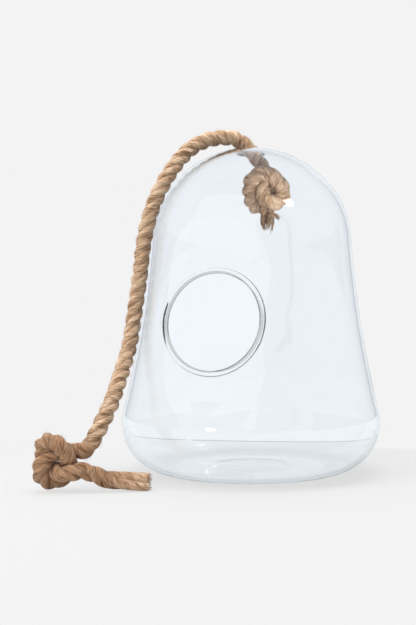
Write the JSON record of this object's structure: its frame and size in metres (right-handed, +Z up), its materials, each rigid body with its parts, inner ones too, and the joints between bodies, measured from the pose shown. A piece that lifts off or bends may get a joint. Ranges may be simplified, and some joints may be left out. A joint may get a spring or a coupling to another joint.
{
  "type": "propagation vase",
  "caption": "Clear blown-glass bell with a closed foot and a round opening in its front, hung from a knotted jute rope that passes through its crown.",
  "frame": {"origin": "centre of the bell's foot, on the plane it stands on", "axes": "+Z up along the bell's axis, -Y towards the front, +X to the right of someone who faces the front"},
  "size_m": [0.2506, 0.206, 0.2636],
  "materials": {
    "clear_glass": "clear, polished by the flame",
    "jute": "coarse natural fibre, three strands"
  },
  "bodies": {
    "bell": {"glass_bell": "clear_glass"},
    "rope": {"rope_run": "jute", "stopper_knot": "jute", "frayed_end": "jute", "end_knot": "jute", "end_tail": "jute"}
  },
  "joints": [
    {"name": "rope_swivel", "type": "hinge", "parent": "bell", "child": "rope", "pos_m": [0, 0, 0.25], "axis": [0, 0, 1], "continuous": true}
  ]
}
